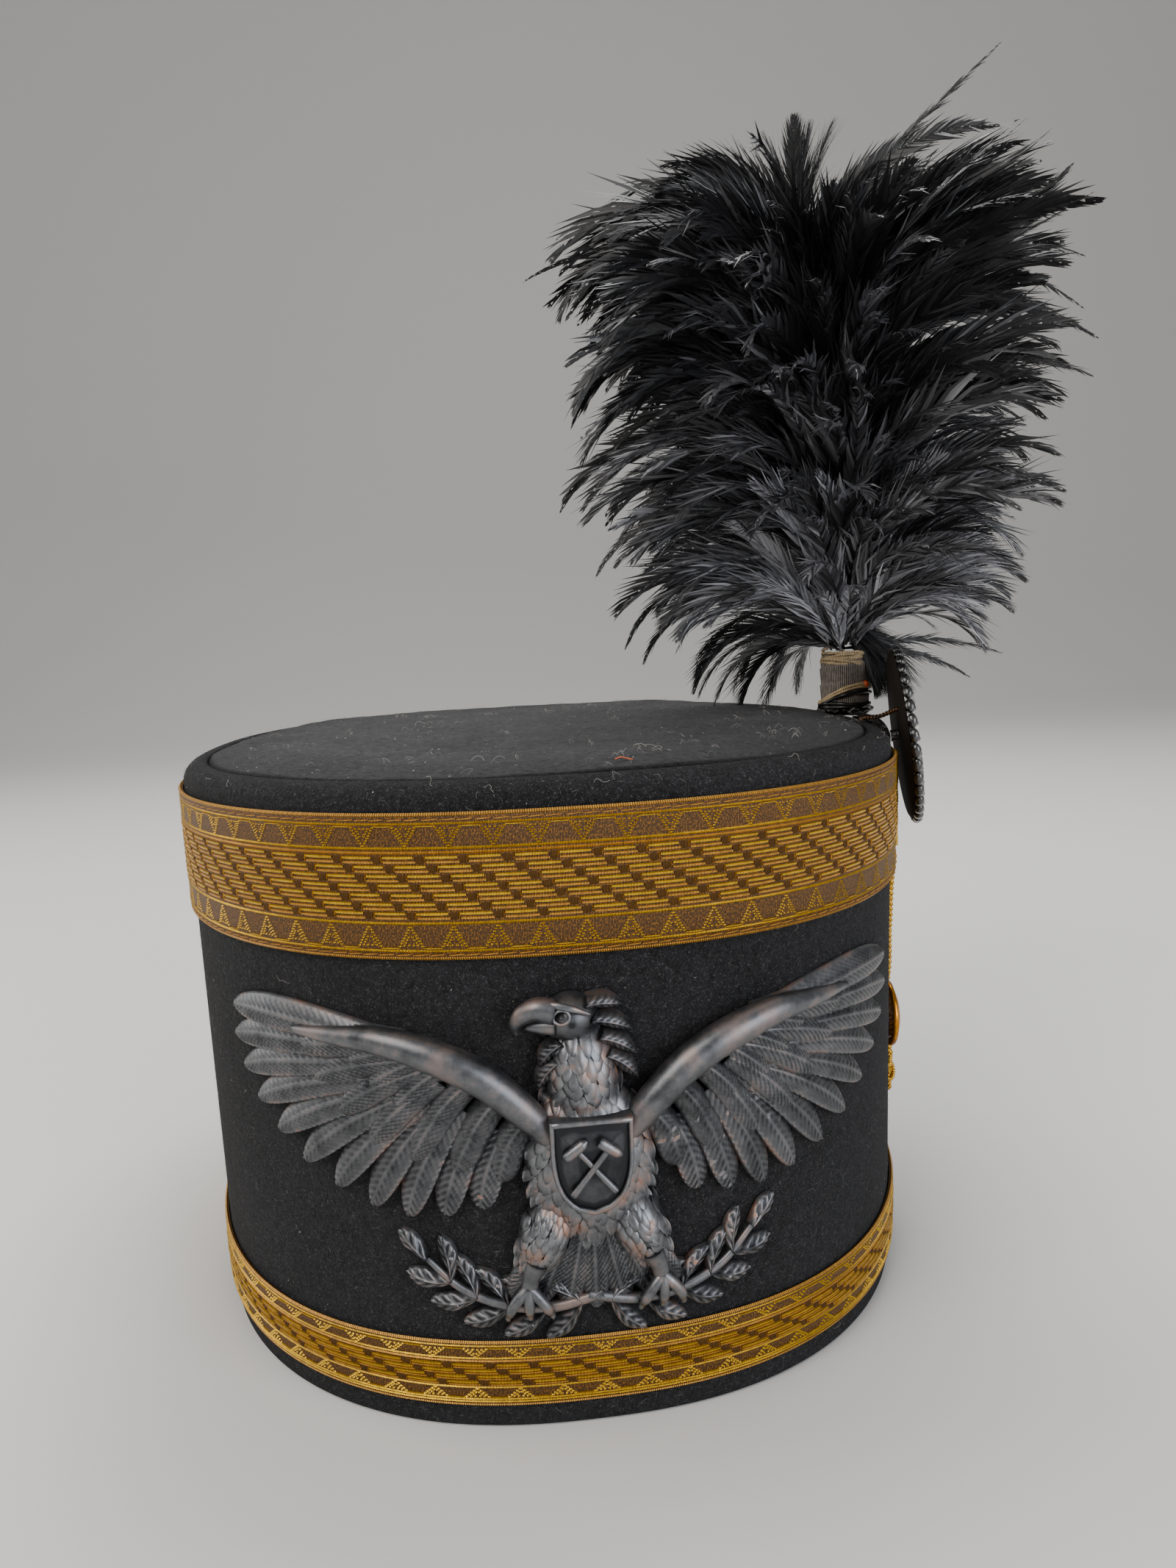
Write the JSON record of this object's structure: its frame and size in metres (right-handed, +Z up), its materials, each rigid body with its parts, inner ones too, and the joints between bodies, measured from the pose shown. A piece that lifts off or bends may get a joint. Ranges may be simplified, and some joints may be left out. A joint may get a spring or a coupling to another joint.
{
  "type": "parade shako hat with feather plume",
  "caption": "Oval black felt shako with flat crown, gold lace bands, a cast eagle front plate, and a side rosette, cord, button and feather plume.",
  "frame": {"origin": "bottom centre of the whole thing's box, on the plane that the lower edge of the body rests on", "axes": "+Z up, the front with the plate faces -Y, the wearer's left with the plume is +X"},
  "size_m": [0.2452, 0.2184, 0.3034],
  "materials": {
    "felt": "napped black wool felt",
    "gold_lace": "woven metallic gold thread on brown silk",
    "dark_pewter": "dark cast white metal with worn coppery edges",
    "gilt_brass": "domed gilt brass, amber tarnish",
    "black_leather": "black patent leather",
    "iron_wire": "dull brown wire",
    "cloth_tape": "woven cotton tape with thread windings",
    "cock_feather": "glossy black cock feathers"
  },
  "bodies": {
    "root": {"felt_body": "felt", "crown_top": "felt", "upper_galloon": "gold_lace", "lower_galloon": "gold_lace", "front_plate": "dark_pewter", "cockade_tab": "black_leather", "cockade": "black_leather", "cockade_tie": "iron_wire", "braid_loop": "gold_lace", "side_cord": "gold_lace", "cord_knot": "gold_lace", "side_button": "gilt_brass", "plume_socket": "black_leather", "plume_stem": "cloth_tape", "plume": "cock_feather"}
  },
  "joints": []
}
